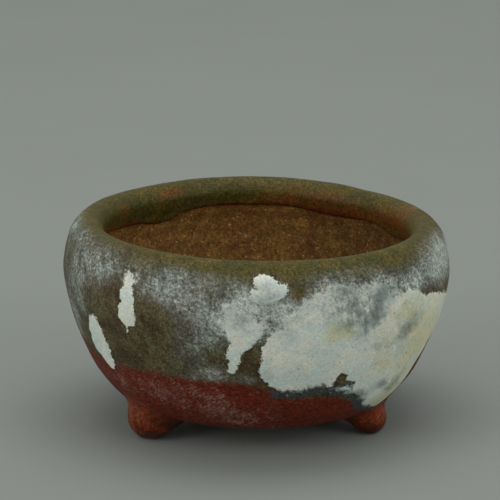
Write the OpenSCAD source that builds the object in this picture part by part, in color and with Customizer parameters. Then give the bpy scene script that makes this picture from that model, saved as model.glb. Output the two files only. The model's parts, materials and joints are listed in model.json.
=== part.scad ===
// Small round bonsai pot: a thrown stoneware bowl with an in-rolled rim, carried on three
// luted-on feet, under a poured base glaze and patches of a thicker white glaze.
// Azimuths are in degrees from the front (-Y), positive towards +X. Z = 0 is the table.

/* [Bowl] */
// Widest diameter, over the glaze
pot_d = 96; // [80:1:120]
// Height of the rim above the table
pot_h = 51; // [46:0.5:60]
// Height of the widest point above the table
shoulder_z = 38; // [34:0.5:42]
// Diameter of the flat underside
base_d = 59; // [50:1:66]
// Diameter of the mouth, inside the rolled rim
mouth_d = 76; // [70:1:78]
// Thickness of the wall at its widest point
wall_t = 6; // [4.5:0.1:6]
// Thickness of the floor
floor_t = 5; // [4:0.1:6]
// Lean of the hand-thrown bowl on its feet, left side high
lean = 0.9; // [0:0.1:1.5]

/* [Holes] */
// Diameter of the drainage hole
drain_d = 16; // [10:0.5:20]
// Diameter of the two tie-wire holes
wire_d = 3.6; // [2.5:0.1:5]
// Distance between the tie-wire holes
wire_spacing = 32; // [28:0.5:36]

/* [Feet] */
// Height of the underside above the table
foot_h = 6.2; // [5:0.1:8]
// Distance from the pot's axis to the middle of each foot's pad
foot_circle_r = 32; // [29:0.1:33]
// Azimuth of the front right foot
foot_azimuth = 62; // [50:1:70]
// Angle between the two front feet; the rear foot stands midway between them on the far side
front_spread = 116; // [110:1:130]
// Radius of the flat pad under a foot
pad_r = 2.2; // [2:0.1:3]
// Outward lean of a foot's tip
foot_lean = 13; // [0:1:16]

/* [Glaze] */
// Thickness of the base glaze
glaze_t = 0.4; // [0.3:0.05:0.6]
// Thickness of the white glaze over the base glaze
white_t = 0.35; // [0.25:0.05:0.5]

/* [Hidden] */
$fn = 96;

clay_colour = [0.36, 0.22, 0.13];
foot_colour = [0.42, 0.16, 0.08];
base_glaze_colour = [0.33, 0.27, 0.18];
white_glaze_colour = [0.82, 0.84, 0.80];

clay_r = pot_d / 2 - glaze_t;
// From the mouth's edge out to the rim's crest, and from the crest down to the mouth's glaze line.
rim_w = 4.3;
roll_h = 7;
rim_r = mouth_d / 2 + rim_w;
rim_z = pot_h - glaze_t;
wall_h = shoulder_z - foot_h;
rim_h = rim_z - shoulder_z;
flare = clay_r - base_d / 2;
floor_z = foot_h + floor_t;
// The leaning bowl's widest circle is shifted back over the feet.
lean_shift = (shoulder_z - foot_h) * sin(lean);
curve_steps = 3;
// Feet, front left, front right and rear.
foot_turns = [foot_azimuth - front_spread, foot_azimuth, foot_azimuth - front_spread / 2 + 180];
// Height of a foot's flare inside the wall, and room for a cut to pass right through.
flare_h = 9.4;
clear = 2;

// Outline of the clay from the underside's edge up to the shoulder, as shares of the wall.
outer_wall = [for (p = [[0, 0], [0.23, 0.05], [0.53, 0.24], [0.73, 0.46], [0.89, 0.7], [1, 1]])
    [base_d / 2 + p[0] * flare, foot_h + p[1] * wall_h]];
// Over the rolled rim and down inside to the line where the base glaze stops.
rim_roll = [
    [rim_r + 0.79 * (clay_r - rim_r), shoulder_z + 0.61 * rim_h],
    [rim_r + 0.47 * (clay_r - rim_r), shoulder_z + 0.86 * rim_h],
    [rim_r, rim_z],
    [mouth_d / 2 + 1.9, rim_z - 0.7],
    [mouth_d / 2 + glaze_t, rim_z - 3],
    [mouth_d / 2 + 0.9, rim_z - 5.4],
    [mouth_d / 2 + 1.6, rim_z - roll_h]];
// Bare clay inside, from the glaze line down to the floor.
inner_r = pot_d / 2 - wall_t;
inner_wall = [
    [inner_r - 0.4, shoulder_z],
    [inner_r - 0.8, shoulder_z - 7.5],
    [inner_r - 3.4, shoulder_z - 15],
    [inner_r - 8, floor_z + 4.6],
    [inner_r - 14.5, floor_z + 0.9],
    [inner_r - 20, floor_z]];
glazed_outline = smooth(concat(outer_wall, rim_roll));
inside_outline = smooth(concat([rim_roll[len(rim_roll) - 1]], inner_wall));

// A Catmull-Rom curve through the points of p.
function smooth(p) = concat(
    [for (i = [0 : len(p) - 2], j = [0 : curve_steps - 1])
        let (t = j / curve_steps, a = p[max(i - 1, 0)], b = p[i], c = p[i + 1],
             d = p[min(i + 2, len(p) - 1)])
        (2 * b + (c - a) * t + (2 * a - 5 * b + 4 * c - d) * t * t
            + (3 * b - a - 3 * c + d) * t * t * t) / 2],
    [p[len(p) - 1]]);

// Outline p moved outwards by t, which tapers from its two ends.
function raised(p, t, taper = 2) = [for (i = [0 : len(p) - 1])
    let (along = p[min(i + 1, len(p) - 1)] - p[max(i - 1, 0)],
         from_end = min(i, len(p) - 1 - i),
         lift = t * min(1, (from_end + 0.5) / taper))
    p[i] + lift * [along[1], -along[0]] / norm(along)];

function reversed(p) = [for (i = [len(p) - 1 : -1 : 0]) p[i]];

module lean_on_feet() {
    translate([-lean_shift, 0, foot_h]) rotate([0, lean, 0]) translate([0, 0, -foot_h])
        children();
}

// The closed shape of the whole bowl's outside, under the glaze.
module bowl_outside() {
    lean_on_feet() rotate_extrude() polygon(concat(
        [[0, foot_h]], [for (q = glazed_outline) if (q[1] <= rim_z) q],
        [[0, rim_z - roll_h]]));
}

// A cut straight down through the floor.
module floor_hole(x, d) {
    translate([x, 0, foot_h - clear]) cylinder(d = d, h = floor_t + 2 * clear);
}

module clay_bowl() {
    color(clay_colour) difference() {
        lean_on_feet() rotate_extrude() polygon(concat(
            [[0, foot_h]], glazed_outline,
            [for (i = [1 : len(inside_outline) - 1]) inside_outline[i]], [[0, floor_z]]));
        floor_hole(0, drain_d);
        for (side = [-1, 1]) floor_hole(side * wire_spacing / 2, wire_d);
    }
}

// One foot's nub before it is cut to the bowl: a rounded tip that flares up into the wall.
module nub(azimuth) {
    tip = [[0, -1], [pad_r - 0.6, -0.7], [pad_r + 0.9, 0], [pad_r + 2.1, 1], [pad_r + 2.9, 2.4],
           [pad_r + 3.5, 4], [pad_r + 4.2, 5.6], [pad_r + 5.3, 7.4], [pad_r + 6.9, flare_h], [0, flare_h]];
    room = 2 * flare_h;
    rotate([0, 0, azimuth]) translate([0, -foot_circle_r, 0])
        intersection() {
            rotate([-foot_lean, 0, 0]) rotate_extrude() polygon(tip);
            translate([-room, -room, 0]) cube([2 * room, 2 * room, room]);
        }
}

module foot(azimuth) {
    color(foot_colour) difference() {
        nub(azimuth);
        bowl_outside();
    }
}

module base_glaze() {
    color(base_glaze_colour) difference() {
        lean_on_feet() rotate_extrude()
            polygon(concat(raised(glazed_outline, glaze_t), reversed(glazed_outline)));
        for (turn = foot_turns) nub(turn);
    }
}

// The wall's outline over the base glaze, where white glaze can lie.
white_outline = raised(glazed_outline, glaze_t);
white_first = 2;
white_last = (len(outer_wall) + 2) * curve_steps;

// Closed skin that all the white patches are cut from.
module white_skin() {
    under = [for (i = [white_first : white_last]) white_outline[i]];
    rotate_extrude() polygon(concat(raised(under, white_t, 1), reversed(under)));
}

// One patch of white glaze: an oval of half_angle degrees by half_h millimetres whose edge
// wavers by two sine waves, slanted by slant degrees of azimuth for each millimetre of height.
module white_patch(azimuth, z, half_angle, half_h, slant = 0, waver = 0.12, phase = 0) {
    reach = pot_d / 2;
    edge = [for (a = [0 : 12 : 348])
        let (w = 1 + waver * sin(3 * a + phase) + 0.6 * waver * sin(7 * a + 2 * phase),
             up = half_h * w * sin(a))
        [reach * sin(half_angle * w * cos(a) + slant * up), z + up]];
    lean_on_feet() intersection() {
        white_skin();
        rotate([0, 0, azimuth]) rotate([90, 0, 0]) linear_extrude(reach + clear) polygon(edge);
    }
}

module white_glaze_patches() {
    color(white_glaze_colour) {
        // front
        white_patch(38, 26, 35, 12.5, slant = 0.3, phase = 40);
        white_patch(3.5, 45, 5, 2.6, phase = 120);
        white_patch(-6, 30, 3, 6.5, slant = 0.25, waver = 0.2, phase = 200);
        white_patch(-41, 38, 3.2, 6, waver = 0.16, phase = 75);
        white_patch(-57, 25.5, 3.6, 6.6, slant = -0.6, waver = 0.14, phase = 10);
        // back and sides
        white_patch(112, 33, 9, 8, waver = 0.15, phase = 300);
        white_patch(150, 25, 14, 8.5, slant = -0.6, phase = 160);
        white_patch(188, 41, 6, 4, waver = 0.18, phase = 20);
        white_patch(216, 29, 5, 9, slant = 0.4, waver = 0.2, phase = 250);
        white_patch(258, 36, 8, 6, waver = 0.15, phase = 90);
    }
}

clay_bowl();
foot(foot_turns[0]);  // front_left_foot
foot(foot_turns[1]);  // front_right_foot
foot(foot_turns[2]);  // rear_foot
base_glaze();
white_glaze_patches();
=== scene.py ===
import json
import math

import bpy
import numpy as np
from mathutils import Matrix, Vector


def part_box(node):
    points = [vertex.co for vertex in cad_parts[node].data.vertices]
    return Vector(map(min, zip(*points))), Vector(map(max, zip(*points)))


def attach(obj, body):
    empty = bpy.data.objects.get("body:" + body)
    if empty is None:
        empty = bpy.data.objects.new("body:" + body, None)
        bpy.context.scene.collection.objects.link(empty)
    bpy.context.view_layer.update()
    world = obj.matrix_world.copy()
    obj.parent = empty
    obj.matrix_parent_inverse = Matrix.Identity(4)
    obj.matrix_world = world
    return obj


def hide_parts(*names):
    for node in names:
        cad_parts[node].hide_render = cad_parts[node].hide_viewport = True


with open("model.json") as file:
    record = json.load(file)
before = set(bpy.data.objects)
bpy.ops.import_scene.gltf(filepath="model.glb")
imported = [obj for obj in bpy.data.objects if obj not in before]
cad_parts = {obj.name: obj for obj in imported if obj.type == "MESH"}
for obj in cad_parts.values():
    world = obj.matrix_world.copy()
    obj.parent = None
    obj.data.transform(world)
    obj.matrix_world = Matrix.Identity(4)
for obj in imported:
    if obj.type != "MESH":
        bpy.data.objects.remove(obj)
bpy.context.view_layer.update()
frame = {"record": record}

# A small round bonsai pot. Azimuths are degrees from the front (-Y), positive towards +X.
# Sizes are in mm on the upright bowl; stand() leans it and turns it into metres.

MM = 0.001
mounts = {m["name"]: m for m in frame["record"]["mounts"]}
clay_lo, clay_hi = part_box("clay_bowl")

drain, wires = mounts["drain_hole"], mounts["tie_wire_holes"]
DRAIN_R = drain["dims"]["r_mm"]
FLOOR_T = drain["dims"]["length_mm"]
UNDERSIDE = drain["pos_m"][2] / MM - FLOOR_T / 2
WIRE_R = wires["dims"]["hole_r_mm"]
WIRE_SPACING = wires["dims"]["spacing_x_mm"]
# The hand-thrown bowl leans on its feet, left side high.
LEAN = math.radians(0.9)
CLAY_R = (clay_hi.x - clay_lo.x) / 2 / MM
# The rim's crest, as a share of the widest radius.
CREST = 0.889
RIM_R = CREST * CLAY_R
RIM_TOP = clay_hi.z / MM - RIM_R * math.sin(LEAN)
HEIGHT = RIM_TOP - UNDERSIDE
# Height of the widest circle, which is shifted back over the feet when the bowl leans.
SHOULDER_Z = 38.0
LEAN_SHIFT = (SHOULDER_Z - UNDERSIDE) * math.sin(LEAN)


# -------- small maths

def ease(x, low, high):
    """0 below low, 1 above high, and smooth between them."""
    t = np.clip((x - low) / (high - low), 0, 1)
    return t * t * (3 - 2 * t)


def between(x, rise, fall):
    """1 between two slopes, each (low, high), and 0 beyond them."""
    return ease(x, *rise) * (1 - ease(x, *fall))


def lattice_noise(p, size, seed):
    """Smooth noise from -1 to 1 at the points p, with features of about size."""
    table = np.random.default_rng(seed).uniform(-1, 1, (32, 32, 32))
    q = p / size + 200
    cell = np.floor(q).astype(int)
    t = q - cell
    t = t * t * (3 - 2 * t)
    total = np.zeros(len(p))
    for corner in np.ndindex(2, 2, 2):
        weight = np.prod(np.where(corner, t, 1 - t), axis=1)
        i, j, k = ((cell + corner) % 32).T
        total += weight * table[i, j, k]
    return total


def noise(p, size, seed, octaves=3):
    return sum(lattice_noise(p, size / 2 ** k, seed + k) / 2 ** k for k in range(octaves))


CURVE_STEPS = 16


def catmull_rom(points, steps=CURVE_STEPS):
    """Smooth curve through the points, as many short steps."""
    p = np.array(points, float)
    t = np.arange(steps)[:, None] / steps
    parts = []
    for i in range(len(p) - 1):
        a, b, c, d = p[max(i - 1, 0)], p[i], p[i + 1], p[min(i + 2, len(p) - 1)]
        parts.append((2 * b + (c - a) * t + (2 * a - 5 * b + 4 * c - d) * t ** 2
                      + (3 * b - a - 3 * c + d) * t ** 3) / 2)
    return np.vstack(parts + [p[-1:]])


class Outline:
    """A curve in (radius, height) that is read by its own length in mm."""

    def __init__(self, points):
        self.p = np.array(points, float)
        step = np.linalg.norm(np.diff(self.p, axis=0), axis=1)
        self.s = np.concatenate([[0], np.cumsum(step)])
        self.length = self.s[-1]
        along = np.gradient(self.p, self.s, axis=0)
        along /= np.linalg.norm(along, axis=1)[:, None]
        self.n = np.stack([along[:, 1], -along[:, 0]], axis=1)

    def at(self, s, lift=0.0):
        """Radius and height at length s, moved out along the outline's normal by lift."""
        p = [np.interp(s, self.s, self.p[:, k]) for k in (0, 1)]
        n = [np.interp(s, self.s, self.n[:, k]) for k in (0, 1)]
        size = np.hypot(*n)
        return p[0] + lift * n[0] / size, p[1] + lift * n[1] / size


def all_round(columns):
    """Azimuths of columns that go all the way round."""
    return np.arange(columns) * 360 / columns - 180


def around(azimuth, stops):
    """A value that varies smoothly round the pot, through stops of (azimuth, value)."""
    stops = sorted(stops)
    a = np.array([s[0] for s in stops], float)
    v = np.array([s[1] for s in stops], float)
    a = np.concatenate([a - 360, a, a + 360])
    fine = catmull_rom(np.stack([a, np.tile(v, 3)], axis=1))
    return np.interp(azimuth, fine[:, 0], fine[:, 1])


# -------- the thrown bowl

def shares(points):
    """Outline points given as shares of the clay's widest radius and of the bowl's height."""
    return [(r * CLAY_R, UNDERSIDE + h * HEIGHT) for r, h in points]


OUTER_WALL = shares([(0.54, 0), (0.58, 0.001), (0.63, 0.006), (0.707, 0.036), (0.821, 0.172),
                     (0.897, 0.33), (0.958, 0.501), (1, 0.716), (0.977, 0.889), (0.941, 0.96),
                     (CREST, 1)])
RIM_INSIDE = shares([(0.838, 0.984), (0.807, 0.932), (0.817, 0.878), (0.832, 0.842)])
INNER_WALL = shares([(0.874, 0.716), (0.866, 0.547), (0.811, 0.378), (0.714, 0.216), (0.578, 0.133),
                     (0.462, 0.113)])
surface = Outline(catmull_rom(OUTER_WALL + RIM_INSIDE + INNER_WALL))
crest_s = surface.s[(len(OUTER_WALL) - 1) * CURVE_STEPS]
inside_s = surface.s[(len(OUTER_WALL) + len(RIM_INSIDE) - 1) * CURVE_STEPS]


def height_to_s(z):
    """Length along the outline of a height on the outer wall."""
    outer = surface.s <= crest_s
    return np.interp(z, surface.p[outer, 1], surface.s[outer])


def inner_height_to_s(z):
    """Length along the outline of a height on the inner wall, below the mouth's narrowest ring."""
    inner = (surface.s > crest_s) & (surface.p[:, 1] < RIM_TOP - 2)
    return np.interp(-z, -surface.p[inner, 1], surface.s[inner])


# The bowl isn't quite round: the number of lobes, their swell in mm and their turn in radians.
LOBES = [(2, 0.2, 0.9), (3, 0.13, 2.1), (5, 0.06, 0.3)]
# Height in mm by which the hand-thrown rim rises and dips, as (azimuth, height).
RIM_WAVE = [(-176, -0.2), (-150, -0.5), (-130, -0.75), (-105, -0.4), (-60, 0), (0, 0.15),
            (60, -0.2), (100, -0.5), (135, -0.75), (155, -0.45)]


def stand(azimuth, radius, z):
    """Points in the row frame, in metres: the bowl is a little uneven and leans on its feet."""
    a = np.radians(azimuth)
    up = np.clip((z - UNDERSIDE) / HEIGHT, 0, 1)
    radius = radius + up * sum(swell * np.sin(count * a + turn) for count, swell, turn in LOBES)
    z = z + up ** 6 * around(azimuth, RIM_WAVE)
    x = radius * np.sin(a)
    above = z - UNDERSIDE
    return MM * np.stack([
        x * math.cos(LEAN) + above * math.sin(LEAN) - LEAN_SHIFT,
        -radius * np.cos(a),
        UNDERSIDE - x * math.sin(LEAN) + above * math.cos(LEAN)], axis=-1)


def upright(points):
    """The reverse of stand() without the unevenness: azimuth, radius and height of points in mm."""
    x = points[:, 0] + LEAN_SHIFT
    above = points[:, 2] - UNDERSIDE
    bowl_x = x * math.cos(LEAN) - above * math.sin(LEAN)
    z = UNDERSIDE + x * math.sin(LEAN) + above * math.cos(LEAN)
    y = points[:, 1]
    return np.degrees(np.arctan2(bowl_x, -y)), np.hypot(bowl_x, y), z


# -------- objects

def place_object(name, data):
    placed = bpy.data.objects.new(name, data)
    bpy.context.scene.collection.objects.link(placed)
    return placed


def smooth_object(name, points, faces, material):
    mesh = bpy.data.meshes.new(name)
    mesh.from_pydata([tuple(p) for p in points], [], faces)
    mesh.validate()
    mesh.polygons.foreach_set("use_smooth", [True] * len(mesh.polygons))
    mesh.materials.append(material)
    return place_object(name, mesh)


def make_piece(name, points, faces, material, replaced):
    piece = smooth_object(name, points, faces, material)
    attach(piece, "root")
    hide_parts(*replaced)
    return piece


def ring_faces(rows, columns, close_rows=False):
    """Quads of a grid whose columns go all the way round."""
    faces = []
    for i in range(rows if close_rows else rows - 1):
        a, b = i * columns, (i + 1) % rows * columns
        for j in range(columns):
            k = (j + 1) % columns
            faces.append((a + j, a + k, b + k, b + j))
    return faces


# -------- bare clay bowl

def clay_loop():
    """Closed outline of the clay as rows of radius, height, relief in mm and the relief's wavelength."""
    low, high = UNDERSIDE, UNDERSIDE + FLOOR_T
    edge = 0.9
    soft = 0.25 * edge
    parts = [
        ([(DRAIN_R, low + edge), (DRAIN_R + soft, low + soft), (DRAIN_R + edge, low)], 0.35, 0.03, 3),
        ([(DRAIN_R + edge, low), OUTER_WALL[0]], 0.32, 0.11, 1.9),
        (surface.p[surface.s <= inside_s], 1.3, 0, 3),
        (surface.p[surface.s >= inside_s], 0.42, 0.15, 4.6),
        ([surface.p[-1], (DRAIN_R + edge, high)], 0.42, 0.2, 3.4),
        ([(DRAIN_R + edge, high), (DRAIN_R + soft, high - soft), (DRAIN_R, high - edge)], 0.35, 0.03, 3),
        ([(DRAIN_R, high - edge), (DRAIN_R, low + edge)], 0.5, 0.05, 3)]
    loop = []
    for part, spacing, relief, wave in parts:
        line = Outline(catmull_rom(part, 8) if len(part) == 3 else part)
        count = max(2, round(line.length / spacing))
        s = np.arange(count) / count * line.length
        fade = ease(s, 0, 1.5) * ease(line.length - s, 0, 1.5)
        loop.append(np.stack([*line.at(s), relief * fade, np.full(count, wave)], axis=1))
    return np.vstack(loop)


def clay_relief(azimuth, path, places, relief, wave):
    """Throwing and trimming marks that wind round the pot, and grit, in mm."""
    turns = path / wave + azimuth / 360
    marks = np.sin(2 * math.pi * turns) * (0.65 + 0.35 * noise(places, 9, 21, 1))
    grit = 0.3 * noise(places, 1.1, 23, 2) + 0.35 * noise(places, 4, 27, 2)
    return relief * (marks + grit)


def wire_hole_cutter(x):
    """A rod that is a little wider where it meets the two faces of the floor."""
    flare = 0.45
    bottom, top = UNDERSIDE - x * math.sin(LEAN), UNDERSIDE + FLOOR_T - x * math.sin(LEAN)
    outline = [(WIRE_R + flare, bottom - 1), (WIRE_R + flare, bottom - 0.1),
               (WIRE_R + 0.3 * flare, bottom + 0.35), (WIRE_R, bottom + 0.9),
               (WIRE_R, top - 0.9), (WIRE_R + 0.3 * flare, top - 0.35),
               (WIRE_R + flare, top + 0.15), (WIRE_R + flare, top + 1)]
    columns = 40
    angle = np.arange(columns) * 2 * math.pi / columns
    points = [(MM * (x + r * math.cos(a)), MM * r * math.sin(a), MM * z)
              for r, z in outline for a in angle]
    faces = ring_faces(len(outline), columns)
    faces += [tuple(reversed(range(columns))), tuple(range(len(points) - columns, len(points)))]
    mesh = bpy.data.meshes.new("cutter")
    mesh.from_pydata(points, [], faces)
    return place_object("cutter", mesh)


def drill(piece):
    """Cuts the two tie-wire holes through the floor."""
    for side in (-1, 1):
        cutter = wire_hole_cutter(side * WIRE_SPACING / 2)
        cut = piece.modifiers.new("hole", "BOOLEAN")
        cut.operation, cut.solver, cut.object = "DIFFERENCE", "EXACT", cutter
        bpy.context.view_layer.update()
        graph = bpy.context.evaluated_depsgraph_get()
        drilled = bpy.data.meshes.new_from_object(piece.evaluated_get(graph))
        piece.modifiers.remove(cut)
        piece.data = drilled
        bpy.data.objects.remove(cutter)


def bare_clay_bowl(material):
    columns = 360
    loop = clay_loop()
    r, z, relief, wave = loop.T
    step_r, step_z = np.roll(r, -1) - np.roll(r, 1), np.roll(z, -1) - np.roll(z, 1)
    size = np.hypot(step_r, step_z)
    path = np.cumsum(np.hypot(r - np.roll(r, 1), z - np.roll(z, 1)))
    azimuth = np.tile(all_round(columns), len(loop))
    row = np.repeat(np.arange(len(loop)), columns)
    places = stand(azimuth, r[row], z[row]) / MM
    lift = clay_relief(azimuth, path[row], places, relief[row], wave[row])
    points = stand(azimuth, r[row] + lift * (step_z / size)[row], z[row] - lift * (step_r / size)[row])
    faces = ring_faces(len(loop), columns, close_rows=True)
    piece = make_piece("clay_body", points, faces, material, ["clay_bowl"])
    drill(piece)


# -------- base glaze

# The wavy line where the base glaze stops inside the mouth, as (azimuth, height).
GLAZE_END = [
    (-180, 44.1), (-163, 43.9), (-152, 42.7), (-147, 40.9), (-140, 40.5), (-132, 41.6), (-116, 42.3),
    (-95, 43.2), (-60, 42.2), (-30, 43.4), (0, 42.8), (35, 43.6), (70, 42.4), (100, 42.6), (120, 41.3),
    (127, 43), (135, 43.3), (145, 42.7), (154, 42.7), (162, 43.6), (172, 44.2)]
# The line where it starts on the underside's edge, as (azimuth, length along the outline).
GLAZE_START = [
    (-170, 1.6), (-110, 2.4), (-70, 1.4), (-20, 2.2), (30, 1.5), (85, 2.6), (140, 1.2)]


def glaze_end(azimuth):
    """The base glaze's end as a length along the outline."""
    return inner_height_to_s(around(azimuth, GLAZE_END))


def rolled(distance, width):
    """Height, from 0 to 1, of a glaze edge that rounds over within width."""
    t = 1 - np.clip(distance / width, 0, 1)
    return np.sqrt(1 - t * t)


def glaze_thickness(azimuth, s, places):
    """Thickness of the base glaze in mm. places are the bowl's surface points in mm."""
    to_end = glaze_end(azimuth) - s
    from_start = s - around(azimuth, GLAZE_START)
    body = 0.36 + 0.09 * noise(places, 11, 5) + 0.02 * noise(places, 1.6, 9, 2)
    # The glaze pools along both of its edges.
    pool_in = 0.42 * np.exp(-((to_end - 0.9) / 0.9) ** 2)
    pool_out = 0.22 * np.exp(-((from_start - 1.0) / 1.2) ** 2)
    return (body + pool_in + pool_out) * rolled(to_end, 0.8) * rolled(from_start, 0.7)


def base_glaze_coat(material):
    columns = 400
    # The rows of points are closer together at the glaze's two edges.
    edge = np.array([0, 0.0007, 0.0025, 0.005, 0.008, 0.0115, 0.0155])
    share = np.concatenate([edge, np.linspace(0.02, 0.98, 108), 1 - edge[::-1]])
    azimuth = all_round(columns)
    start, end = around(azimuth, GLAZE_START), glaze_end(azimuth)
    s = (start + share[:, None] * (end - start)).ravel()
    azimuth = np.tile(azimuth, len(share))
    r, z = surface.at(s)
    lift = glaze_thickness(azimuth, s, stand(azimuth, r, z) / MM)
    outside = stand(azimuth, *surface.at(s, lift))
    inside = stand(azimuth, *surface.at(s, -0.05))[columns:-columns]
    # The outside rows, then the inside rows back again, make one closed skin.
    back = inside.reshape(len(share) - 2, columns, 3)[::-1].reshape(-1, 3)
    points = np.vstack([outside, back])
    faces = ring_faces(2 * len(share) - 2, columns, close_rows=True)
    piece = make_piece("poured_base_glaze", points, faces, material, ["base_glaze"])
    azimuth = np.concatenate([azimuth, azimuth[:len(back)]])
    s = np.concatenate([s, s.reshape(len(share), columns)[1:-1][::-1].ravel()])
    places = points / MM
    store(piece, lay_out(azimuth, s, places, near_feet(places)))


# -------- where the glazes lie

# Outlines of the white glaze's patches, as (azimuth, height) round each one.
PATCHES = {
    "upright": [
        (-42.4, 44.8), (-41.3, 46), (-39, 45.6), (-38, 44.2), (-38.2, 42.6), (-37.5, 41.5),
        (-37.7, 39.5), (-37, 36.5), (-37.2, 33.5), (-39.5, 33), (-40.6, 31.6), (-41.3, 33),
        (-43.4, 35.2), (-42.6, 37.5), (-41.8, 38.5), (-42.2, 41.5), (-41.2, 42.8), (-42, 43.4)],
    "slanting": [
        (-60, 30), (-58.5, 32), (-56, 33), (-54, 31.5), (-52.6, 29.5), (-51.8, 26), (-51.5, 22),
        (-53, 19.5), (-55, 19), (-58, 21.2), (-61, 23.3), (-62, 25.5), (-60, 27), (-61.2, 28.4)],
    "under_the_lip": [
        (0, 48), (2, 48.6), (4.5, 48.2), (6, 47.2), (8.5, 46.4), (8.6, 45), (7.5, 43.8), (5.5, 42.4),
        (2.5, 42), (0, 42.6), (-1.8, 43.4), (-1.2, 45), (0.5, 45.6), (-0.8, 46.8)],
    "drip": [
        (-9.5, 41), (-9.5, 36.5), (-7, 32.5), (-8.5, 29.5), (-7.5, 28), (-8.5, 25), (-6.5, 24),
        (-5, 26.5), (-4.5, 29.5), (-3.5, 31), (-2, 31.5), (0, 33), (2.5, 35), (5, 36.5), (4, 39),
        (-1, 41), (-5, 42)],
    "broad": [
        (3, 34), (1.5, 28.5), (1.5, 25), (2.5, 22.4), (4.5, 20.8), (9, 19.6), (14, 19.4), (18, 19.8),
        (22, 20.2), (25.5, 19.3), (31.5, 18), (36, 16.5), (40, 14.6), (45, 11.6), (51, 9.8), (57, 9.3),
        (61, 11), (64, 14), (67, 19), (73, 24.5), (78, 29), (79, 35), (66.5, 38), (58.5, 38.5),
        (53, 41), (50, 41.5), (46, 40.8), (42, 42.8), (37.5, 45), (30.5, 44.3), (24, 45.2), (20, 45.8),
        (16.5, 44.6), (12, 41), (8, 38.5), (4.5, 36)],
    "right_back": [
        (104, 40), (112, 42), (119, 39), (121, 33), (116, 26), (109, 24), (104, 29), (102, 35)],
    "back_broad": [
        (136, 31), (142, 36), (153, 35), (161, 30), (167, 22), (163, 16), (152, 15), (143, 19),
        (137, 24)],
    "back_lip": [
        (182, 45), (189, 46), (194, 43), (192, 39), (186, 38), (182, 41)],
    "back_drip": [
        (211, 38), (217, 37), (219, 31), (217, 25), (219, 20), (215, 18), (212, 22), (213, 29)],
    "left_back": [
        (250, 42), (258, 43), (266, 40), (267, 34), (262, 30), (255, 29), (251, 34)],
}
# A hole in the broad patch.
BARE_SPOT = [(25, 18.5), (25.5, 21.5), (27.5, 23.5), (30, 22.5), (29.5, 21), (34, 20), (33.5, 18.5),
             (28.5, 19)]
NEVER = 99.0
# How far a patch's skin reaches past its white, where it is too thin to hide the glaze below.
SPREAD = 0.4


def soft_top(azimuth, z):
    """1 where a patch thins out into the mottling beside it, and less where its edge only frays."""
    front = ease(azimuth - 8 * ease(z, 36, 40), 2, 7) * (1 - ease(azimuth, 43, 49))
    front *= ease(z, 33, 39) * (1 - 0.8 * ease(z, 44.5, 46.5))
    fray = 0.5 * between(azimuth, (5, 12), (48, 56)) * (1 - ease(z - 0.2 * (25 - azimuth), 19, 23))
    centre = between(azimuth, (-14, -10), (5, 9)) * between(z, (34, 38), (41, 43.5))
    tip = 0.35 * between(-azimuth, (34, 36), (46, 48)) * ease(z, 43, 44)
    back = between(azimuth, (132, 138), (160, 166)) * ease(z, 28, 34)
    return np.clip(front + fray + centre + tip + back, 0, 1)


def signed_distance(u, v, corners):
    """Distance in mm from points to a closed outline, positive inside it."""
    best = np.full(len(u), 1e9)
    inside = np.zeros(len(u), bool)
    for a, b in zip(corners, np.roll(corners, -1, axis=0)):
        ab = b - a
        t = np.clip(((u - a[0]) * ab[0] + (v - a[1]) * ab[1]) / (ab @ ab), 0, 1)
        best = np.minimum(best, np.hypot(u - a[0] - t * ab[0], v - a[1] - t * ab[1]))
        crosses = (v < a[1]) != (v < b[1])
        rise = ab[1] if ab[1] else 1e-9
        inside ^= crosses & (u < a[0] + (v - a[1]) / rise * ab[0])
    return np.where(inside, best, -best)


def patch_distance(name, azimuth, s, corners=None):
    """Signed distance to a white patch along the pot's surface, in mm, with its smooth outline."""
    corners = np.array(corners or PATCHES[name], float)
    middle = corners[:, 0].mean()
    radius = surface.at(s)[0]
    u = np.radians((azimuth - middle + 180) % 360 - 180) * radius
    corner_s = height_to_s(corners[:, 1])
    corner_u = np.radians(corners[:, 0] - middle) * surface.at(corner_s)[0]
    return signed_distance(u, s, np.stack([corner_u, corner_s], axis=1))


def white_field(azimuth, s, places, names=None):
    """Signed distance to the nearest white patch, with its ragged edge: positive inside, in mm."""
    out_of_sight = ease(np.abs(azimuth), 88, 100)
    ragged = 0.4 * noise(places, 2.6, 61, 2) + 2.2 * out_of_sight * noise(places, 8, 63, 3)
    field = np.full(len(s), -NEVER)
    for name in names or PATCHES:
        d = patch_distance(name, azimuth, s)
        if name == "broad":
            d = np.minimum(d, -patch_distance(name, azimuth, s, BARE_SPOT))
        field = np.maximum(field, d)
    outer_wall = ease(crest_s - s, 1, 3)
    return np.where(outer_wall > 0, field + ragged, -NEVER)


def cover(azimuth, z, spots):
    """Soft ovals laid over each other, each (strength, azimuth, height, degrees across, mm up),
    with a slant in degrees per mm if it leans."""
    left = np.ones(len(z))
    for strength, at, height, wide, tall, *slant in spots:
        above = z - height
        across = (azimuth - at + 180) % 360 - 180 - sum(slant) * above
        left *= 1 - strength * np.exp(-(across / wide) ** 2 - (above / tall) ** 2)
    return 1 - left


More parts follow.
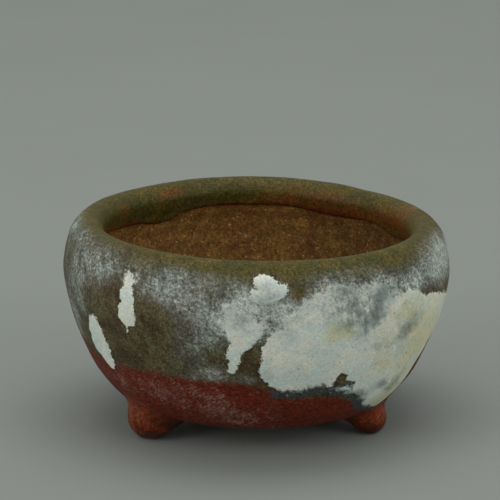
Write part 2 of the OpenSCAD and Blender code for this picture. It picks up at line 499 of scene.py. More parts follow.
# Grey-white mottling over the dark glaze.
MOTTLES = [
    (0.45, -63, 45, 15, 5.5), (0.5, -84, 49, 16, 3), (0.45, -66, 36, 10, 8), (0.4, -72, 27, 7, 7),
    (0.6, -48, 45.5, 9, 3.5), (0.75, -28, 44, 9, 4), (0.5, -21, 46.8, 9, 2),
    (0.65, -17, 39.5, 7, 4.5, -0.6), (0.3, -14, 34, 5, 5), (0.45, -13, 24, 4.5, 3.5),
    (0.35, -19, 21.5, 7, 2), (0.55, -2, 22.8, 5, 1.6), (0.35, -10, 46, 5, 2), (0.4, -19, 30, 8, 7),
    (0.97, -3, 41, 9, 4.6), (0.95, -4, 36, 7, 4), (0.97, 7, 39, 8, 4.5), (0.95, 24, 44, 11, 4),
    (0.9, 38, 43, 8, 4), (0.85, 52, 43.8, 8, 3), (0.95, 68, 44, 14, 4.5), (0.7, 78, 45, 9, 5),
    (0.5, 88, 36, 6, 10), (0.6, 97, 44, 9, 4), (0.6, 113, 43, 12, 5), (0.6, 128, 38, 8, 8, 0.5),
    (0.8, 150, 39, 14, 5), (0.6, 170, 34, 7, 8), (0.7, 190, 41, 12, 5), (0.5, 204, 33, 8, 8),
    (0.7, 226, 43, 14, 4.5), (0.5, 240, 34, 8, 8, 0.5), (0.7, 258, 42, 12, 6), (0.4, 274, 32, 9, 8)]
# Where the mottling stays away, beside the white and in the notches between patches.
BARE = [
    (0.8, -45.5, 38, 2.5, 7), (0.5, -33, 37, 5, 4.5), (0.6, -50, 31, 5, 6),
    (0.8, -0.5, 26, 3, 4.5, -0.4), (0.9, 12, 44.6, 2.4, 1.9), (0.6, -66, 24, 3, 5),
    (0.4, 31, 47, 3, 1.3), (0.6, -13, 28, 3, 2.5)]
# Iron-rich patches, brown to orange, in the rim's olive; the spots high on the inner roll at the back
# left and back right are painted highlight as well.
RUSTS_AND_HIGHLIGHTS = [
    (0.95, -147, 48.8, 8, 1.2), (0.45, 150, 48.2, 20, 2), (1, 116, 45.6, 16, 3.6),
    (1, 150, 45.4, 34, 2.4), (0.4, 104, 50, 14, 2.2), (0.6, -14, 46.5, 6, 2), (0.5, 46, 46.6, 6, 2),
    (0.6, -118, 47, 9, 3), (0.8, -37, 47.5, 6, 1.6), (0.4, -90, 45, 8, 3)]
# Blue-grey shadows inside the white.
BLUES = [
    (0.97, 29, 40.5, 11, 4.4), (0.9, 24, 43, 8, 3.2), (0.6, 41, 43, 6, 3), (0.85, 34, 36.5, 8, 4.2),
    (0.45, 39, 28.5, 5, 3), (0.55, 8, 38, 7, 5), (0.3, 4, 25, 3, 5), (0.95, 50, 17, 5, 1.8, -1.5),
    (0.75, 38, 16, 6, 2, -1.5), (0.5, 57, 15.5, 6, 4.5), (0.4, 3, 43.5, 5, 2.5),
    (0.6, -4, 39.5, 8, 4.5), (0.65, 50, 31.5, 8, 6, 0.3), (0.25, 3, 46, 6, 2), (0.5, 150, 31, 12, 4),
    (0.4, 112, 36, 7, 4), (0.4, 258, 38, 7, 4)]
# Yellowish cream in the white.
CREAMS = [
    (1, 62, 29, 17, 13), (0.95, 24, 34.5, 5, 3), (0.7, 50, 37, 7, 5), (0.25, 16, 28, 6, 7),
    (0.5, 40, 24, 8, 4), (1, 55, 11.5, 9, 3.5), (0.4, -57, 26, 6, 6), (0.5, 156, 22, 10, 6),
    (0.5, 115, 28, 8, 6)]
# Fine pale scratches over the red.
SCRATCHES = [
    (0.9, -14, 14, 13, 6, -1.2), (0.8, -3, 10, 10, 4, -1), (0.7, -32, 17, 12, 4.5),
    (0.5, -50, 16, 12, 6), (0.12, 20, 11, 14, 4), (0.6, 95, 14, 14, 5), (0.6, 170, 10, 16, 4),
    (0.6, 225, 13, 14, 5), (0.4, 275, 15, 10, 5)]
# Height of the copper red's upper edge, as (azimuth, height).
RED_LINE = [
    (-165, 13), (-140, 15), (-115, 21), (-90, 25), (-74, 24), (-60, 20.5), (-41, 21.5), (-24, 21.8),
    (-9.5, 22), (-1.5, 21.3), (3, 20), (6.5, 19.3), (15, 17.8), (23, 17), (31, 16.2), (39.5, 13.8),
    (48, 10.8), (58, 8.8), (64, 12), (70, 19), (80, 25), (94, 22), (105, 16), (125, 17), (150, 12),
    (170, 10)]
# Height of the olive rim band's lower edge on the outside.
OLIVE_LINE = [
    (-160, 47.5), (-130, 45.5), (-105, 48), (-80, 49.5), (-52, 50), (-41, 50), (-28, 48.8), (-21, 47.6),
    (-16, 45), (-11, 43.8), (-7, 45.3), (-3, 47.8), (2, 49), (7, 48.5), (10, 45.8), (13, 44),
    (16, 46.5), (25, 48), (31, 46.8), (37, 47.6), (43, 46.2), (50, 45.6), (56, 45.6), (64, 49),
    (71, 47.5), (95, 49), (120, 47), (150, 48.5), (175, 46.5)]


def lay_out(azimuth, s, places, foot, white=None):
    """Where each glaze lies, as three vectors per point that the glaze's shader reads."""
    z = surface.at(s)[1]
    outside = ease(crest_s - s, -1.5, 2.5)
    if white is None:
        white = white_field(azimuth, s, places)
    olive = ease(s - height_to_s(around(azimuth, OLIVE_LINE)), -1.6, 1.6)
    # Millimetres below the red's upper edge. Inside the mouth there is no red.
    no_red = -30
    red = (height_to_s(around(azimuth, RED_LINE)) - s) * outside + no_red * (1 - outside)
    # A trace of mottling shows on all the walls.
    trace = 0.09 * (1 - olive)
    mottle = np.maximum(cover(azimuth, z, MOTTLES) * (1 - cover(azimuth, z, BARE)), trace)
    mottle *= outside * (1 - ease(red, -1, 2.5))
    # A dark blue-grey halo hangs below the white where it ends over the red.
    low = ease(height_to_s(20) - s, -0.5, 1.5) * between(azimuth, (2, 8), (60, 75))
    halo = ease(white, -3.8, -0.8) * low
    # Near 1 at the glaze's end inside the mouth, and fading out in a few millimetres.
    edge = np.exp(-np.clip(glaze_end(azimuth) - s, 0, None) / 3)
    return {
        "whites": np.stack([white, cover(azimuth, z, CREAMS), cover(azimuth, z, BLUES)], axis=1),
        "earths": np.stack([olive, red, mottle], axis=1),
        "marks": np.stack([halo, cover(azimuth, z, SCRATCHES) * outside, foot], axis=1),
        "edges": np.stack([edge, cover(azimuth, z, RUSTS_AND_HIGHLIGHTS), soft_top(azimuth, z)], axis=1)}


def near_feet(points, fade=3.2):
    """1 on a foot, fading to 0 on the wall within fade mm of it."""
    return np.max([1 - ease(to_nub(points, foot), 0, fade) for foot in FEET], axis=0)


def store(piece, layout):
    """Keeps each vector of the layout as an attribute of the piece's points."""
    for name, values in layout.items():
        attribute = piece.data.attributes.new(name, "FLOAT_VECTOR", "POINT")
        attribute.data.foreach_set("vector", values.astype(np.float32).ravel())


# -------- feet

def distance_to_line(p, line):
    """Signed distance from points (N, 2) to an open polyline, positive on its right-hand side."""
    best = np.full(len(p), 1e9)
    side = np.zeros(len(p))
    for a, b in zip(line[:-1], line[1:]):
        ab = b - a
        t = np.clip(((p - a) @ ab) / (ab @ ab), 0, 1)
        gap = p - (a + t[:, None] * ab)
        d = np.hypot(gap[:, 0], gap[:, 1])
        turn = gap[:, 0] * ab[1] - gap[:, 1] * ab[0]
        nearer = d < best
        best = np.where(nearer, d, best)
        side = np.where(nearer, np.sign(turn), side)
    return best * np.where(side == 0, 1, side)


class Foot:
    """One luted nub: a rounded tip over its pad and a broader root further in, under the bowl."""

    def __init__(self, node, tip_r, root_r, fillet, seed):
        x, y, _ = mounts[node.replace("foot", "pad")]["pos_m"]
        self.node, self.tip_r, self.root_r, self.fillet, self.seed = node, tip_r, root_r, fillet, seed
        self.circle = math.hypot(x, y) / MM
        self.out = np.array([x, y, 0]) / math.hypot(x, y)
        self.side = np.array([-y, x, 0]) / math.hypot(x, y)
        # The tip's ball is sunk a little into the table, which flattens the pad.
        sunk, root_inset, root_z = 0.4, 6, 9.8
        self.tip = (self.circle - sunk) * self.out + np.array([0, 0, tip_r - sunk])
        self.root = (self.circle - root_inset) * self.out + np.array([0, 0, root_z])


FEET = [Foot("front_left_foot", 5.8, 7.5, 3.6, 43), Foot("front_right_foot", 4.2, 6.4, 3.2, 46),
        Foot("rear_foot", 4.7, 6.6, 3.2, 41)]
# The bowl's outside from the underside's middle to above the feet, as a coarse line.
BOWL_SIDE = np.vstack([[(-1, UNDERSIDE)], surface.p[surface.s < height_to_s(30)][::6]])


def to_bowl(points):
    """Distance in mm from points to the bowl's glazed outside, positive outside it."""
    _, r, z = upright(points)
    return distance_to_line(np.stack([r, z], axis=1), BOWL_SIDE) - 0.38


def to_nub(points, foot):
    """Distance in mm from points to one foot's nub, before it joins the bowl."""
    nearest = np.full(len(points), NEVER)
    balls = 14
    for share in np.linspace(0, 1, balls):
        middle = foot.tip + share * (foot.root - foot.tip)
        radius = foot.tip_r + share * (foot.root_r - foot.tip_r)
        nearest = np.minimum(nearest, np.linalg.norm(points - middle, axis=1) - radius)
    hand_made = 0.2 * noise(points, 5, foot.seed, 2)
    return nearest + hand_made


def blend_min(a, b, k):
    """Smaller of two distances, with a fillet of about k where they meet."""
    h = np.clip(0.5 + 0.5 * (b - a) / k, 0, 1)
    return b + (a - b) * h - k * h * (1 - h)


def foot_points(foot, rings, columns):
    """Rays from inside the bowl's edge meet the foot's skin, and the bowl's side above it."""
    inset, height = 1.2, 9.4
    centre = (foot.circle - inset) * foot.out + np.array([0, 0, height])
    turn = np.tile(np.arange(columns) * 2 * math.pi / columns, rings)
    share = np.repeat(np.linspace(0, 1, rings) ** 0.85, columns)
    reach = np.radians(84 + 16 * np.cos(turn) + 8 * np.cos(2 * turn))
    tilt = share * reach
    across = np.cos(turn)[:, None] * foot.out + np.sin(turn)[:, None] * foot.side
    ray = np.sin(tilt)[:, None] * across - np.cos(tilt)[:, None] * np.array([0, 0, 1])

    def skin(p):
        joined = blend_min(to_bowl(p), to_nub(p, foot), foot.fillet)
        # The table cuts the pad flat, with a rounded edge.
        return -blend_min(-joined, p[:, 2] + 0.12, 0.5)

    def hit(f):
        """Length of each ray where f turns positive, by halving."""
        low, high = np.full(len(ray), 0.5), np.full(len(ray), 15.0)
        for _ in range(24):
            middle = (low + high) / 2
            outside = f(centre + middle[:, None] * ray) > 0
            low, high = np.where(outside, low, middle), np.where(outside, middle, high)
        return (low + high) / 2

    outer = hit(skin)
    inner = hit(lambda p: to_bowl(p) + 0.25)
    # The flare's edge sinks a little into the base glaze.
    outer = outer - 0.12 * ease(share, 0.93, 1)
    return centre + outer[:, None] * ray, centre + np.minimum(inner, outer - 0.02)[:, None] * ray


def luted_foot(foot, material):
    rings, columns = 72, 120
    outer, inner = foot_points(foot, rings, columns)
    points = np.vstack([outer, inner.reshape(rings, columns, 3)[::-1][1:].reshape(-1, 3)])
    faces = [f[::-1] for f in ring_faces(2 * rings - 1, columns)]
    piece = make_piece(foot.node + "_nub", points * MM, faces, material, [foot.node])
    azimuths, _, z = upright(points)
    store(piece, lay_out(azimuths, height_to_s(z), points, near_feet(points)))


# -------- white glaze

def clipped_cells(field):
    """Faces that cover field > 0 on a grid, cut along its zero line. A corner is (column, row)."""
    columns, rows = field.shape
    inside = field > 0
    faces = []
    for i, j in np.argwhere(inside[:-1, :-1] | inside[1:, :-1] | inside[1:, 1:] | inside[:-1, 1:]):
        corners = [(i, j), (i + 1, j), (i + 1, j + 1), (i, j + 1)]
        face = []
        for a, b in zip(corners, corners[1:] + corners[:1]):
            if inside[a]:
                face.append((a, a, 0.0))
            if inside[a] != inside[b]:
                low, high = min(a, b), max(a, b)
                share = field[low] / (field[low] - field[high])
                face.append((low, high, float(np.clip(share, 0.08, 0.92))))
        faces.append(face)
    return faces


def grown_islands(faces, smallest):
    """Drops islands of fewer faces than smallest."""
    parent = {}

    def root(k):
        while parent.setdefault(k, k) != k:
            parent[k] = parent[parent[k]]
            k = parent[k]
        return k

    for face in faces:
        for corner in face[1:]:
            parent[root(corner)] = root(face[0])
    count = {}
    for face in faces:
        count[root(face[0])] = count.get(root(face[0]), 0) + 1
    return [face for face in faces if count[root(face[0])] >= smallest]


def white_patch_mesh(name, step=0.34):
    """One patch as a closed skin: points, faces and the shader's layout."""
    corners = np.array(PATCHES[name], float)
    left, low = corners.min(axis=0)
    right, high = corners.max(axis=0)
    widest = surface.at(height_to_s(min(high, SHOULDER_Z)))[0]
    # Room for the ragged edge outside the corners, in degrees and in mm.
    margin, margin_s = 3.0, 1.6
    azimuths = np.arange(left - margin, right + margin, math.degrees(step / widest))
    lengths = np.arange(height_to_s(low) - margin_s, height_to_s(high) + margin_s, step)

    def read(azimuth, s):
        places = stand(azimuth, *surface.at(s)) / MM
        return places, white_field(azimuth, s, places, [name])

    a, s = (g.ravel() for g in np.meshgrid(azimuths, lengths, indexing="ij"))
    field = read(a, s)[1].reshape(len(azimuths), len(lengths))
    fewest_faces = 12
    faces = grown_islands(clipped_cells(field + SPREAD), fewest_faces)
    index, points = {}, []
    for face in faces:
        for corner in face:
            if corner not in index:
                index[corner] = len(points)
                (i, j), (k, m), share = corner
                points.append((azimuths[i] + share * (azimuths[k] - azimuths[i]),
                               lengths[j] + share * (lengths[m] - lengths[j])))
    a, s = np.array(points).T
    places, field = read(a, s)
    on_edge = np.array([corner[2] > 0 for corner in index])
    distance = np.where(on_edge, 0, np.clip(field + SPREAD, 0, None))
    base = glaze_thickness(a, s, places)
    z = surface.at(s)[1]
    full = (0.24 + 0.06 * noise(places, 4, 71, 2)) * (1 - 0.93 * soft_top(a, z))
    top = stand(a, *surface.at(s, base + full * rolled(distance, 0.9) - 0.01))
    under = stand(a, *surface.at(s, base - 0.14))
    tops = [[index[c] for c in face] for face in faces]
    n = len(points)
    edges = {(f[i], f[(i + 1) % len(f)]) for f in tops for i in range(len(f))}
    sides = [(b, a, a + n, b + n) for a, b in edges if (b, a) not in edges]
    bottoms = [[k + n for k in reversed(f)] for f in tops]
    layout = lay_out(a, s, places, near_feet(places), field)
    layout = {k: np.vstack([v, v]) for k, v in layout.items()}
    return np.vstack([top, under]), tops + sorted(sides) + bottoms, layout


def white_glaze(material):
    points, faces, layouts, count = [], [], [], 0
    for name in PATCHES:
        p, f, layout = white_patch_mesh(name)
        points.append(p)
        faces += [[k + count for k in face] for face in f]
        layouts.append(layout)
        count += len(p)
    piece = make_piece("white_glaze_skin", np.vstack(points), faces, material,
                       ["white_glaze_patches"])
    store(piece, {k: np.vstack([one[k] for one in layouts]) for k in layouts[0]})


# -------- materials

class Look:
    """A Principled material with short ways to add and join nodes."""

    def __init__(self, name):
        self.material = bpy.data.materials.new(name)
        self.material.use_nodes = True
        self.tree = self.material.node_tree
        self.surface = self.tree.nodes["Principled BSDF"]
        place = self.tree.nodes.new("ShaderNodeTexCoord").outputs["Object"]
        self.mm = self.vector("SCALE", place, scale=1 / MM)
        self.across, _, self.height = self.node("ShaderNodeSeparateXYZ", i0=self.mm).outputs

    def node(self, kind, settings=(), **inputs):
        """A new node. An input is named by its socket, or by i and its number."""
        node = self.tree.nodes.new(kind)
        for key, value in dict(settings).items():
            setattr(node, key, value)
        for key, value in inputs.items():
            self.join(value, node.inputs[int(key[1:])] if key[0] == "i" else node.inputs[key])
        return node

    def join(self, value, socket):
        if isinstance(value, bpy.types.NodeSocket):
            self.tree.links.new(value, socket)
        elif isinstance(value, tuple) and socket.type == "RGBA":
            socket.default_value = (*value, 1)
        else:
            socket.default_value = value

    def vector(self, operation, a, b=None, scale=None):
        """Vector a joined with vector b, or scaled by a number."""
        more = {"Scale": scale} if b is None else {"i1": b}
        return self.node("ShaderNodeVectorMath", {"operation": operation}, i0=a, **more).outputs[0]

    def math(self, operation, a, b=0.0):
        return self.node("ShaderNodeMath", {"operation": operation}, i0=a, i1=b).outputs[0]

    def add(self, *values):
        total = values[0]
        for value in values[1:]:
            total = self.math("ADD", total, value)
        return total

    def times(self, a, b):
        return self.math("MULTIPLY", a, b)

    def swing(self, value, reach):
        """value around 0.5, as reach times its distance from the middle."""
        return self.times(self.math("SUBTRACT", value, 0.5), reach)

    def stir(self, value, *noises):
        """value with noises added to it, each (noise, reach)."""
        return self.add(value, *[self.swing(noise, reach) for noise, reach in noises])

    def step(self, value, low, high):
        """0 below low, 1 above high and smooth between them."""
        smooth = {"interpolation_type": "SMOOTHSTEP"}
        return self.node("ShaderNodeMapRange", smooth, i0=value, i1=low, i2=high).outputs[0]

    def ragged(self, value, low, high, *noises):
        """step() of value once noises, each (noise, reach), have stirred it."""
        return self.step(self.stir(value, *noises), low, high)

    def ramp(self, value, low, high):
        """low to high as value goes from 0 to 1."""
        return self.node("ShaderNodeMapRange", i0=value, i3=low, i4=high).outputs[0]

    def shade(self, colour, *values):
        """colour scaled by one value after another, each (value, scale at 0, scale at 1)."""
        for value, low, high in values:
            colour = self.vector("SCALE", colour, scale=self.ramp(value, low, high))
        return colour

    def blend(self, a, b, value, low, high, *noises, most=1.0):
        """a that turns to b where value, stirred by noises, goes from low to high."""
        return self.mix(a, b, self.ragged(value, low, high, *noises), most)

    def mix(self, a, b, share, most=1.0):
        """a that turns to b by share, times most."""
        if most != 1:
            share = self.times(share, most)
        node = self.node("ShaderNodeMix", {"data_type": "RGBA"}, i0=share)
        self.join(a, node.inputs[6])
        self.join(b, node.inputs[7])
        return node.outputs[2]

    def noise(self, size, detail=2.0, rough=0.55, where=None, distort=0.0):
        """Noise from 0 to 1 with features of about size mm."""
        return self.node("ShaderNodeTexNoise", Vector=where or self.mm, Scale=1 / size, Detail=detail,
                         Roughness=rough, Distortion=distort).outputs["Fac"]

    def flow(self, twist, stretch):
        """Coordinates that draw noise out along the glaze's run, turned by twist degrees per mm
        of height."""
        angle = self.times(self.height, math.radians(twist))
        turned = self.node("ShaderNodeVectorRotate", {"rotation_type": "Z_AXIS"}, Vector=self.mm,
                           Angle=angle)
        return self.vector("MULTIPLY", turned.outputs[0], (1, 1, 1 / stretch))

    def layout(self, name):
        """The three values that store() left on the mesh under name."""
        node = self.node("ShaderNodeAttribute", {"attribute_name": name})
        return self.node("ShaderNodeSeparateXYZ", i0=node.outputs["Vector"]).outputs

    def bump(self, height_mm):
        self.join(self.node("ShaderNodeBump", Height=height_mm, Distance=MM).outputs[0],
                  self.surface.inputs["Normal"])

    def finish(self, colour, rough, shine):
        """Joins the look to the shader, and gives its material."""
        self.join(colour, self.surface.inputs["Base Color"])
        self.join(rough, self.surface.inputs["Roughness"])
        self.surface.inputs["Specular IOR Level"].default_value = shine
        return self.material


DARK_BROWN = (0.080, 0.052, 0.023)
DARK_OLIVE = (0.088, 0.080, 0.038)
RED_BROWN = (0.098, 0.052, 0.021)
OCHRE_FLECK = (0.230, 0.155, 0.060)
RIM_OLIVE = (0.062, 0.054, 0.011)
RIM_KHAKI = (0.099, 0.072, 0.014)
RIM_GREEN = (0.044, 0.052, 0.014)
# Rim rust colour, also used for painted highlight on the inner roll.
RIM_RUST_AND_HIGHLIGHT = (0.150, 0.045, 0.010)
RIM_RED = (0.075, 0.011, 0.003)
GREY_BLUE = (0.128, 0.138, 0.114)
LAVENDER = (0.232, 0.234, 0.200)
PALE_GREY = (0.450, 0.503, 0.460)
COPPER_RED = (0.172, 0.020, 0.007)
DARK_RED = (0.086, 0.015, 0.006)
PURPLE = (0.128, 0.035, 0.023)
PINK_FLECK = (0.235, 0.120, 0.095)
SCRATCH_PALE = (0.40, 0.27, 0.23)
HALO_BLUE = (0.048, 0.064, 0.060)
COOL_WHITE = (0.660, 0.745, 0.700)
WARM_WHITE = (0.800, 0.795, 0.680)
CREAM_TINT = (0.94, 0.87, 0.66)
SHADOW_BLUE = (0.285, 0.330, 0.310)
DEEP_SHADOW = (0.110, 0.120, 0.100)
FOOT_ORANGE = (0.200, 0.036, 0.010)
FOOT_BROWN = (0.080, 0.018, 0.007)
PAD_CLAY = (0.250, 0.130, 0.045)


class Glaze(Look):
    """A glaze's look, with the crystals, streaks and specks that all its colours share."""

    def __init__(self, name):
        super().__init__(name)
        self.crystal = self.noise(0.4, 2, 0.7)
        self.grain = self.noise(1.1, 3, 0.65)
        run = self.flow(0.4, 1.25)
        self.cloud = self.noise(5.0, 6, 0.66, run)
        self.veil = self.noise(3.4, 6, 0.7, self.vector("ADD", run, (40, 10, 20)))
        self.wide = self.noise(13, 3, 0.5)
        self.fleck = self.noise(0.9, 4, 0.72, self.flow(0.3, 1.0))
        self.pepper = self.step(self.noise(0.62, 2, 0.6), 0.34, 0.66)


def dark_glaze(g):
    """The base glaze on the walls: olive and brown with ochre flecks."""
    ground = g.blend(DARK_BROWN, DARK_OLIVE, g.cloud, 0.40, 0.60, (g.grain, 0.7))
    ground = g.blend(ground, RED_BROWN, g.wide, 0.52, 0.7, (g.grain, 0.5), most=0.5)
    ground = g.blend(ground, OCHRE_FLECK, g.crystal, 0.6, 0.78, (g.grain, 0.6), most=0.5)
    return g.shade(ground, (g.step(g.cloud, 0.35, 0.65), 0.68, 1.3))


def rim_glaze(g, edge, rust_and_highlight):
    """The same glaze on the rim, where it turns olive and rust, some rust spots being painted highlight.
    It darkens towards its end inside the mouth, partly thick iron-rich glaze and partly painted shade
    under the roll, and is dark red along its end.
    """
    rim = g.blend(RIM_OLIVE, RIM_KHAKI, g.cloud, 0.38, 0.62, (g.grain, 0.8))
    rim = g.blend(rim, RIM_GREEN, g.wide, 0.42, 0.74, (g.grain, 1.2), most=0.5)
    # Rust, with painted highlight in the spots high on the inner roll at the back.
    rim = g.blend(rim, RIM_RUST_AND_HIGHLIGHT, rust_and_highlight, 0.1, 1.1, (g.cloud, 1.4), most=0.8)
    # Painted shade, partly the glaze's own darkening: darker towards the glaze's end under the roll.
    rim = g.shade(rim, (edge, 1.04, 0.58))
    return g.blend(rim, RIM_RED, edge, 0.50, 0.95, (g.wide, 0.9))


def copper_red(g, scratch):
    """The base glaze low on the wall, where it fired red."""
    reds = g.blend(COPPER_RED, DARK_RED, g.grain, 0.40, 0.64, (g.fleck, 0.9))
    reds = g.blend(reds, PURPLE, g.cloud, 0.46, 0.66, (g.fleck, 0.6), most=0.6)
    pink = g.ragged(g.times(scratch, 0.55), 0.2, 1.0, (g.veil, 2.4), (g.fleck, 1.4))
    return g.mix(reds, PINK_FLECK, pink, 0.75)


def mottled(g, ground, mottle):
    """Grey and white crystals over the glaze, in clouds drawn out a little by its run."""
    web = g.noise(2.4, 4, 0.65, g.flow(0.3, 1.3))
    web = g.step(g.math("ABSOLUTE", g.swing(web, 1)), 0, 0.08)
    patchy = g.stir(g.add(1.1, g.times(mottle, 1.8), g.times(web, -0.6)),
                    (g.veil, 4.0), (g.fleck, 1.4), (g.pepper, 0.3))
    coverage = g.times(g.step(g.times(mottle, patchy), -0.4, 1.5), g.step(mottle, 0, 0.3))
    haze = g.blend(GREY_BLUE, LAVENDER, g.wide, 0.40, 0.62, (g.veil, 0.8))
    bright = g.stir(g.add(g.times(mottle, 0.42), g.cloud), (g.fleck, 0.8))
    haze = g.mix(haze, PALE_GREY, g.step(bright, 0.58, 1.05))
    return g.mix(ground, haze, coverage, 0.94)


def scratched(g, ground, scratch):
    """Fine pale scratches."""
    strand = g.noise(0.5, 3, 0.6, g.flow(-2.2, 4), distort=1.2)
    marks = g.ragged(g.add(g.times(scratch, 0.13), strand), 0.60, 0.78, (g.veil, 0.35))
    return g.mix(ground, SCRATCH_PALE, g.times(marks, g.step(scratch, 0.04, 0.4)), 0.6)


def haloed(g, ground, halo):
    """The dark line below the white glaze, where it ends over the red."""
    shadow = g.ragged(halo, 0.1, 0.7, (g.cloud, 1.4), (g.fleck, 1.6))
    return g.mix(ground, HALO_BLUE, g.times(shadow, g.step(halo, 0.02, 0.3)), 0.93)


def footed(g, ground, foot):
    """Iron orange on the feet, darkened towards the table by painted shade, and bare clay on their wiped
    pads.
    """
    feet = g.blend(FOOT_ORANGE, FOOT_BROWN, g.cloud, 0.38, 0.62, (g.grain, 0.6))
    # Painted shade: darker towards the table.
    feet = g.shade(feet, (g.ragged(g.height, 0.4, 3.4, (g.cloud, 3)), 0.5, 1.05))
    ground = g.blend(ground, feet, foot, 0.3, 0.9, (g.cloud, 1.2))
    wiped = g.math("SUBTRACT", 1.0, g.ragged(g.height, 0.25, 0.7, (g.grain, 1.6)))
    return g.mix(ground, PAD_CLAY, wiped, 0.8)


def white_body(g, cream, blue):
    """The white glaze itself: brushed warm and cool white, with blue-grey shadows and cream."""
    brushed = g.noise(7, 5, 0.6, g.vector("ADD", g.flow(-0.8, 0.8), (5, 70, 30)))
    body = g.blend(WARM_WHITE, COOL_WHITE, brushed, 0.36, 0.64, (g.veil, 0.5))
    blued = g.times(blue, g.stir(1, (g.veil, 3.4), (brushed, 1.8), (g.fleck, 1.8)))
    body = g.mix(body, SHADOW_BLUE, g.step(blued, 0.08, 0.95), 0.85)
    body = g.mix(body, DEEP_SHADOW, g.step(blued, 0.6, 1.5), 0.75)
    tinted = g.vector("MULTIPLY", body, CREAM_TINT)
    body = g.blend(body, tinted, cream, 0.2, 1.0, (g.cloud, 2.2))
    speck = g.ragged(g.noise(0.8, 1, 0.5), 0.70, 0.78, (g.cloud, 0.4))
    body = g.mix(body, DARK_BROWN, speck, 0.55)
    return g.shade(body, (g.stir(g.crystal, (g.fleck, 0.6)), 0.7, 1.3), (g.pepper, 0.93, 1.07))


def white_cover(g, white, soft):
    """1 where the white glaze covers the dark one. Its edge is ragged, and wide where soft is 1."""
    wander = g.times(soft, g.add(g.swing(g.veil, 16), g.swing(g.fleck, 6)))
    reach = g.add(g.stir(white, (g.grain, 1.9), (g.crystal, 1.3)), wander)
    spread = g.times(soft, 1.8)
    return g.step(reach, g.math("SUBTRACT", -0.16, spread), g.add(spread, 0.16))


def glaze(name, roughness, shine, relief):
    """A glaze over the shared layout. roughness is (walls, white, feet), relief its grain in mm."""
    g = Glaze(name)
    white, cream, blue = g.layout("whites")
    olive, red, mottle = g.layout("earths")
    halo, scratch, foot = g.layout("marks")
    edge, rust_and_highlight, soft = g.layout("edges")

    on_rim = g.ragged(olive, 0.15, 0.9, (g.veil, 3.0), (g.grain, 1.2))
    in_red = g.ragged(red, -1.4, 1.4, (g.cloud, 8), (g.fleck, 5))
    ground = g.mix(dark_glaze(g), rim_glaze(g, edge, rust_and_highlight), on_rim)
    ground = g.mix(ground, copper_red(g, scratch), in_red)
    ground = mottled(g, ground, mottle)
    ground = scratched(g, ground, scratch)
    ground = haloed(g, ground, halo)
    ground = footed(g, ground, foot)
    ground = g.shade(ground, (g.crystal, 0.3, 1.7), (g.fleck, 0.4, 1.6), (g.pepper, 0.68, 1.32))
    covered = white_cover(g, white, soft)
    colour = g.mix(ground, white_body(g, cream, blue), covered)

    on_walls, on_white, on_feet = roughness
    rough = g.stir(g.ramp(covered, on_walls, on_white), (g.grain, 0.25))
    rough = g.add(rough, g.times(g.step(foot, 0.3, 0.9), on_feet - on_walls))
    # The glaze pooled smooth inside the mouth.
    rough = g.add(rough, g.times(g.step(edge, 0.05, 0.35), -0.28))
    fine = g.add(g.times(g.crystal, 0.6), g.grain, g.times(g.fleck, 0.6))
    g.bump(g.times(fine, relief))
    return g.finish(colour, rough, shine)


CLAY_BROWN = (0.275, 0.140, 0.033)
CLAY_DARK = (0.120, 0.066, 0.022)
CLAY_RED = (0.335, 0.134, 0.038)
GROG_TAN = (0.56, 0.40, 0.17)
GROG_ORANGE = (0.44, 0.20, 0.055)


def grog(look, colour):
    """Sharp-edged grains in colour, fine and coarse. Also gives where the coarse ones lie."""
    for size, rarity, share in ((0.75, 0.55, 0.5), (1.5, 0.72, 0.3)):
        warp = look.node("ShaderNodeTexNoise", Vector=look.mm, Scale=1.6 / size, Detail=1.0)
        warped = look.vector("SCALE", warp.outputs["Color"], scale=0.8 * size)
        place = look.vector("ADD", look.mm, warped)
        grains = look.node("ShaderNodeTexVoronoi", Vector=place, Scale=1 / size, Randomness=1.0)
        tone = look.node("ShaderNodeSeparateColor", i0=grains.outputs["Color"]).outputs
        depth = look.math("SUBTRACT", look.times(tone[0], share), grains.outputs["Distance"])
        chosen = look.math("GREATER_THAN", tone[1], rarity)
        chosen = look.times(look.step(depth, -0.05, 0.12), chosen)
        colour = look.mix(colour, look.mix(GROG_ORANGE, GROG_TAN, tone[2]), chosen, 0.7)
    return colour, chosen


def bare_clay(name):
    """Coarse unglazed stoneware with grog and iron specks, darker on its right side."""
    look = Look(name)
    crystal = look.noise(0.4, 2, 0.7)
    grain = look.noise(0.9, 4, 0.7)
    cloud = look.noise(7, 5, 0.65)
    pepper = look.step(look.noise(0.7, 2, 0.6), 0.34, 0.66)
    colour = look.blend(CLAY_BROWN, CLAY_DARK, grain, 0.40, 0.62, (cloud, 0.8))
    colour = look.blend(colour, CLAY_RED, cloud, 0.48, 0.66, (grain, 1.0), most=0.6)
    colour, coarse = grog(look, colour)
    colour = look.shade(colour, (look.step(look.noise(2.6, 3, 0.6), 0.3, 0.7), 0.76, 1.22))
    stain = look.ragged(look.across, 4, 30, (cloud, 40))
    colour = look.mix(colour, look.shade(colour, (grain, 0.4, 0.8)), stain)
    colour = look.shade(colour, (crystal, 0.2, 1.8), (grain, 0.4, 1.6), (pepper, 0.72, 1.28))
    look.bump(look.add(look.times(crystal, 0.14), look.times(grain, 0.3), look.times(coarse, 0.1)))
    return look.finish(colour, look.stir(0.8, (grain, 0.3)), 0.2)


PAPER = (0.251, 0.264, 0.247)
PAPER_CLOUD = (0.265, 0.278, 0.261)


def plain_paper(name):
    look = Look(name)
    return look.finish(look.mix(PAPER, PAPER_CLOUD, look.noise(60, 2)), 0.9, 0.2)


# -------- floor, light and camera

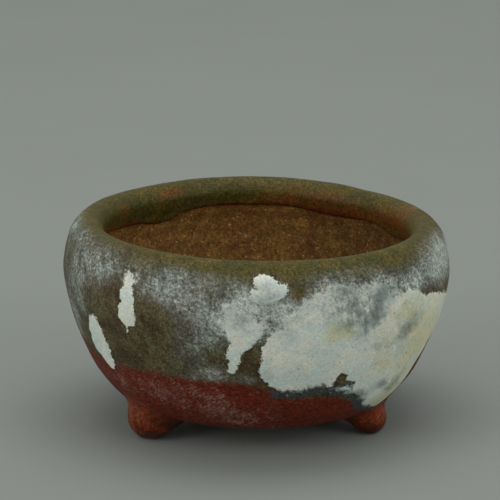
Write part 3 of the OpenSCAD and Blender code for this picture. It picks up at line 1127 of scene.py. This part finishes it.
def sweep_floor():
    """A flat round floor whose far edge curves up into a wall all round."""
    outline = catmull_rom([(0, 0), (0.4, 0), (1.2, 0), (2.2, 0), (2.7, 0.05), (3.1, 0.25),
                           (3.3, 0.55), (3.35, 0.8)], 6)
    columns = 96
    a = np.radians(all_round(columns))
    points = np.stack([np.outer(outline[:, 0], np.sin(a)), np.outer(outline[:, 0], np.cos(a)),
                       np.repeat(outline[:, 1:], columns, axis=1)], axis=-1).reshape(-1, 3)
    faces = [f[::-1] for f in ring_faces(len(outline), columns)]
    floor = smooth_object("floor", points, faces, plain_paper("pale_paper"))


def area_light(name, place, size, power):
    """A rectangle of light that faces the pot."""
    data = bpy.data.lights.new(name, "AREA")
    data.shape = "RECTANGLE"
    data.size, data.size_y = size
    data.energy = power
    light = place_object(name, data)
    light.location = place
    light.rotation_euler = (Vector((0, 0, 0.03)) - Vector(place)).to_track_quat("-Z", "Y").to_euler()


def studio():
    sweep_floor()
    world = bpy.data.worlds.new("studio")
    world.use_nodes = True
    sky = world.node_tree.nodes["Background"].inputs
    sky["Color"].default_value = (0.95, 1, 0.97, 1)
    sky["Strength"].default_value = 0.64
    bpy.context.scene.world = world
    area_light("overhead_softbox", (0, 0.10, 0.95), (0.7, 0.55), 2.7)
    area_light("left_fill", (-1.45, -0.85, 0.6), (0.9, 0.9), 7.6)
    area_light("right_fill", (1.45, -0.85, 0.6), (0.9, 0.9), 5.4)


def camera():
    """A long lens, 800 mm away and 16 degrees above the middle of the pot."""
    distance, elevation = 0.8, math.radians(16.1)
    middle = Vector((-LEAN_SHIFT * MM, 0, 0.030))
    look_past = Vector((-0.001, 0, 0.0124))
    data = bpy.data.cameras.new("camera")
    data.lens = 231.6
    data.clip_start = 0.05
    cam = place_object("camera", data)
    cam.location = middle + distance * Vector((0, -math.cos(elevation), math.sin(elevation)))
    cam.rotation_euler = (middle + look_past - cam.location).to_track_quat("-Z", "Y").to_euler()
    bpy.context.scene.camera = cam


camera()
studio()
bpy.context.scene.view_settings.view_transform = "Standard"
bare_clay_bowl(bare_clay("coarse_bare_stoneware"))
base_glaze_coat(glaze("copper_and_ash_glaze", (0.55, 0.5, 0.3), 0.13, 0.06))
foot_glaze = glaze("iron_foot_glaze", (0.5, 0.5, 0.3), 0.22, 0.04)
for foot in FEET:
    luted_foot(foot, foot_glaze)
white_glaze(glaze("thick_white_glaze", (0.5, 0.5, 0.3), 0.13, 0.08))
